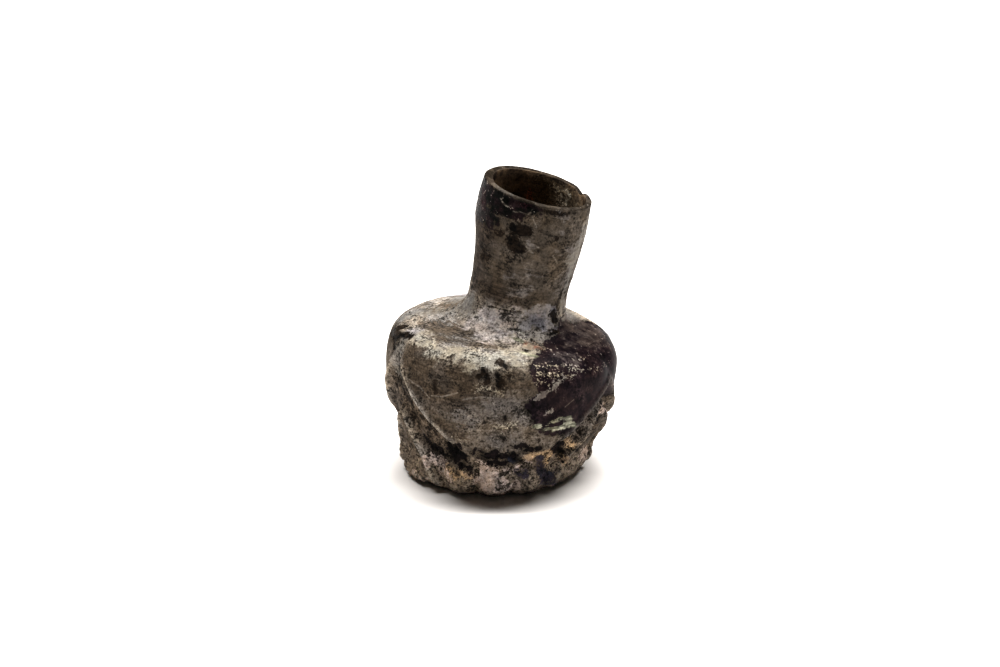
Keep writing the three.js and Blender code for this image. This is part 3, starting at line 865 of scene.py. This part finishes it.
colour = mix_colour(ramp_between(glass_tree, mottle, *PALE_LEVELS), CRUST_MIDDLE, CRUST_PALE)
colour = mix_colour(ramp_between(glass_tree, mottle, *DARK_LEVELS), colour, CRUST_DARK)
# Hollows of the mould's relief are darkened: partly dirt, partly painted shade
colour = mix_colour(compute(glass_tree, "MULTIPLY", hollow, HOLLOW_DIRT_AND_SHADE_SHARE), colour, HOLLOW_DIRT_AND_SHADE)
roughness = CRUST_ROUGHNESS
frays = dict.fromkeys(FINISHES, speck)
frays.update(dict.fromkeys(STREAKED_FINISHES, streak))
frays.update(dict.fromkeys(FINE_FINISHES, grain))
masks = {}
for name, finish in FINISHES.items():
    mask = finish_mask(glass_tree, name, glass_attribute(name), edge, frays[name])
    masks[name] = mask
    blotch = streak if name in STREAKED_FINISHES else edge
    blotch = ramp_between(glass_tree, blotch, *BLOTCH_LEVELS)
    colour = mix_colour(mask, colour, mix_colour(blotch, (*finish.main, 1), (*finish.second, 1)))
    roughness = mix_value(mask, roughness, finish.roughness)
    if name == "base_crust":
        # Crests of the petal edges and leaf ribs are lightened: partly rubbed wear, partly a painted
        # highlight, weaker towards the right
        crest = compute(glass_tree, "POWER", glass_attribute("crest"), CREST_WEAR_AND_HIGHLIGHT_POWER)
        breaks = ramp_between(glass_tree, speck, *CREST_WEAR_AND_HIGHLIGHT_BREAKS)
        fading = ramp_between(glass_tree, split[0], *CREST_WEAR_AND_HIGHLIGHT_RIGHT)
        for share in (breaks, fading, CREST_WEAR_AND_HIGHLIGHT_SHARE):
            crest = compute(glass_tree, "MULTIPLY", crest, share)
        colour = mix_colour(crest, colour, CREST_WEAR_AND_HIGHLIGHT)
bare = masks["bare_glass"]
matte = compute(glass_tree, "SUBTRACT", 1.0, bare)

# Speckle of the crust, as gains on noises from fine to coarse. Dark and pale flecks crowd where
# the crust is rough: in patches, in the hollows and on the base.
FINE_GAIN = 2.0
MIDDLE_GAIN = 2.6
COARSE_GAIN = 2.6
STREAK_GAIN = 2.2
STREAK_RISES = (28.0, 34.0)
NECK_RISES = (44.0, 50.0)
NECK_STREAK_SHARE = 0.75
FLECK_NOISE = {"Scale": 1.7, "Detail": 2.0, "Roughness": 0.6}
FLECK_CROWDING = 0.1
DARK_FLECK = 0.45
DARK_FLECK_LEVELS = (0.32, 0.25)
PALE_FLECK = 0.9
PALE_FLECK_LEVELS = (0.7, 0.8)
PALE_CROWDING_SHARE = 0.5
ROUGH_LEVELS = (0.45, 0.62)
ROUGH_GAIN = 0.8
BARE_GAIN = -0.5
SMOOTH_GAIN = -0.4
DARKEST = 0.12
PIT_SHADE = 0.35
LUMP_SHADE = 0.55
LOW_LEVELS = (0.5, 0.4)
BASE_GAIN = -0.45
NECK_GAIN = -0.3
pitted = compute(glass_tree, "MAXIMUM", masks["base_crust"], hollow)
rough = ramp_between(glass_tree, mottle, *ROUGH_LEVELS)
rough = compute(glass_tree, "MAXIMUM", rough, pitted)
variation = push(glass_tree, 0.0, grain, FINE_GAIN)
variation = push(glass_tree, variation, speck, MIDDLE_GAIN)
variation = push(glass_tree, variation, edge, COARSE_GAIN)
streaked = ramp_between(glass_tree, glass_attribute("rise"), *STREAK_RISES, 0.0, STREAK_GAIN)
fewer = ramp_between(glass_tree, glass_attribute("rise"), *NECK_RISES, 1.0, NECK_STREAK_SHARE)
streaked = compute(glass_tree, "MULTIPLY", streaked, fewer)
streaks = compute(glass_tree, "SUBTRACT", streak, NOISE_MIDDLE)
streaks = compute(glass_tree, "MULTIPLY", streaks, streaked)
variation = compute(glass_tree, "ADD", variation, streaks)
fleck = noise(glass_tree, glass_place, FLECK_NOISE)
crowded = compute(glass_tree, "MULTIPLY", rough, FLECK_CROWDING)
dark_flecks = compute(glass_tree, "SUBTRACT", fleck, crowded)
dark_flecks = ramp_between(glass_tree, dark_flecks, *DARK_FLECK_LEVELS)
pale_flecks = compute(glass_tree, "MULTIPLY_ADD", crowded, PALE_CROWDING_SHARE, fleck)
pale_flecks = ramp_between(glass_tree, pale_flecks, *PALE_FLECK_LEVELS)
variation = compute(glass_tree, "MULTIPLY_ADD", dark_flecks, -DARK_FLECK, variation)
variation = compute(glass_tree, "MULTIPLY_ADD", pale_flecks, PALE_FLECK, variation)
smooth = masks[SMOOTH_FINISHES[0]]
for name in SMOOTH_FINISHES[1:]:
    smooth = compute(glass_tree, "MAXIMUM", smooth, masks[name])
strength = 1.0
for share, gain in ((rough, ROUGH_GAIN), (bare, BARE_GAIN), (smooth, SMOOTH_GAIN),
                    (masks["base_crust"], BASE_GAIN), (masks["neck_brown"], NECK_GAIN)):
    strength = compute(glass_tree, "MULTIPLY_ADD", share, gain, strength)
variation = compute(glass_tree, "MULTIPLY_ADD", variation, strength, 1.0)
# Pits and the low places between lumps are darkened: partly dirt, partly painted shade in the crust's
# hollows
pits = compute(glass_tree, "MULTIPLY", pit_mask(glass_tree, glass_place, PIT_SIZE), pitted)
variation = compute(glass_tree, "MULTIPLY_ADD", pits, -PIT_SHADE, variation)
lump = noise(glass_tree, glass_place, {"Scale": 1 / LUMP_SIZE, "Detail": LUMP_DETAIL})
low = compute(glass_tree, "MULTIPLY", ramp_between(glass_tree, lump, *LOW_LEVELS), pitted)
variation = compute(glass_tree, "MULTIPLY_ADD", low, -LUMP_SHADE, variation)
variation = compute(glass_tree, "MAXIMUM", variation, DARKEST)

# Slow changes of hue between warm and cool, as thin layers of weathered glass have
TINT_NOISE = {"Scale": 0.16, "Detail": 4.0, "Roughness": 0.6}
WARM_TINT = (1.04, 1.0, 0.93, 1)
COOL_TINT = (0.98, 1.0, 1.03, 1)
TINT_LEVELS = (0.4, 0.6)
warmth = noise(glass_tree, glass_place, TINT_NOISE)
tint = mix_colour(ramp_between(glass_tree, warmth, *TINT_LEVELS), WARM_TINT, COOL_TINT)
shade = add_node(glass_tree, "ShaderNodeVectorMath", {0: tint, "Scale": variation}, operation="SCALE")
colour = mix_colour(1.0, colour, shade.outputs[0], "MULTIPLY")
inner_wall = mix_colour(ramp_between(glass_tree, mottle, *INSIDE_LEVELS), INSIDE_DARK, INSIDE_BROWN)
for name in INSIDE_FINISHES:
    inner_wall = mix_colour(masks[name], inner_wall, colour)
colour = mix_colour(glass_attribute("inside"), colour, inner_wall)
roughness = mix_value(glass_attribute("inside"), roughness, INSIDE_ROUGHNESS)

grain_height = compute(glass_tree, "ADD", compute(glass_tree, "ADD", speck, edge), grain)
for share in (strength, matte):
    grain_height = compute(glass_tree, "MULTIPLY", grain_height, share)
bumped = add_node(glass_tree, "ShaderNodeBump", {
    "Height": grain_height, "Strength": BUMP_STRENGTH, "Distance": BUMP_HEIGHT * MILLIMETRE})
glass_tree.links.new(colour, shader.inputs["Base Color"])
glass_tree.links.new(roughness, shader.inputs["Roughness"])
glass_tree.links.new(bumped.outputs[0], shader.inputs["Normal"])
shader.inputs["IOR"].default_value = GLASS_IOR
shader.inputs["Specular IOR Level"].default_value = GLASS_SPECULAR

weathering = flask.modifiers.new("weathering", "NODES")
weathering.node_group = skin_tree
for name, size in RELIEF_SIZES.items():
    weathering[size_sockets[name].identifier] = size
weathering[material_socket.identifier] = glass
evaluated = flask.evaluated_get(bpy.context.evaluated_depsgraph_get())
flask.data = bpy.data.meshes.new_from_object(evaluated)
flask.modifiers.remove(weathering)

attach(flask, "root")
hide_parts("flask")

# Floor
# A plain table top of warm white paper, seamless to the edge of the view. It is part of the
# studio and not of the flask.

FLOOR_HALF = 3.0
PAPER_COLOUR = (0.94, 0.905, 0.87, 1)
PAPER_ROUGHNESS = 0.9
PAPER_SPECULAR = 0.0
corners = [(-FLOOR_HALF, -FLOOR_HALF, 0), (FLOOR_HALF, -FLOOR_HALF, 0),
           (FLOOR_HALF, FLOOR_HALF, 0), (-FLOOR_HALF, FLOOR_HALF, 0)]
floor_mesh = bpy.data.meshes.new("floor")
floor_mesh.from_pydata(corners, [], [(0, 1, 2, 3)])
floor = bpy.data.objects.new("floor", floor_mesh)
bpy.context.collection.objects.link(floor)
paper = bpy.data.materials.new("white_paper")
paper.use_nodes = True
paper_inputs = paper.node_tree.nodes["Principled BSDF"].inputs
paper_inputs["Base Color"].default_value = PAPER_COLOUR
paper_inputs["Roughness"].default_value = PAPER_ROUGHNESS
paper_inputs["Specular IOR Level"].default_value = PAPER_SPECULAR
floor_mesh.materials.append(paper)

# Light
# A dim white tent all round and one wide softbox overhead, a little behind and to the right.
# Gamma deepens the dark glass as a studio print does.

TENT_COLOUR = (1, 1, 1, 1)
TENT_STRENGTH = 0.02
SOFTBOX_WIDTH = 1.8
SOFTBOX_DEPTH = 0.4
SOFTBOX_POWER = 76.0
SOFTBOX_PLACE = (0.12, 0.25, 1.5)
PRINT_GAMMA = 0.88
scene = bpy.context.scene
scene.view_settings.view_transform = "Standard"
scene.view_settings.gamma = PRINT_GAMMA
tent = bpy.data.worlds.new("white_tent")
tent.use_nodes = True
tent_inputs = tent.node_tree.nodes["Background"].inputs
tent_inputs["Color"].default_value = TENT_COLOUR
tent_inputs["Strength"].default_value = TENT_STRENGTH
scene.world = tent
softbox_light = bpy.data.lights.new("softbox", "AREA")
softbox_light.shape = "RECTANGLE"
softbox_light.size = SOFTBOX_WIDTH
softbox_light.size_y = SOFTBOX_DEPTH
softbox_light.energy = SOFTBOX_POWER
softbox = bpy.data.objects.new("softbox", softbox_light)
softbox.location = SOFTBOX_PLACE
bpy.context.collection.objects.link(softbox)

# Camera
# A long lens at the photograph's height, level with the middle of the frame.

FOCAL_LENGTH = 100.0
SENSOR_WIDTH = 36.0
NEAREST_SEEN = 0.01
CAMERA_ELEVATION = math.radians(19.5)
CAMERA_DISTANCE = 0.5556
CAMERA_TARGET = (-0.0003, 0.0, 0.0283)
camera_data = bpy.data.cameras.new("camera")
camera_data.lens = FOCAL_LENGTH
camera_data.sensor_width = SENSOR_WIDTH
camera_data.clip_start = NEAREST_SEEN
camera = bpy.data.objects.new("camera", camera_data)
camera.location = (
    CAMERA_TARGET[0],
    CAMERA_TARGET[1] - CAMERA_DISTANCE * math.cos(CAMERA_ELEVATION),
    CAMERA_TARGET[2] + CAMERA_DISTANCE * math.sin(CAMERA_ELEVATION),
)
camera.rotation_euler = (math.pi / 2 - CAMERA_ELEVATION, 0, 0)
bpy.context.collection.objects.link(camera)
scene.camera = camera
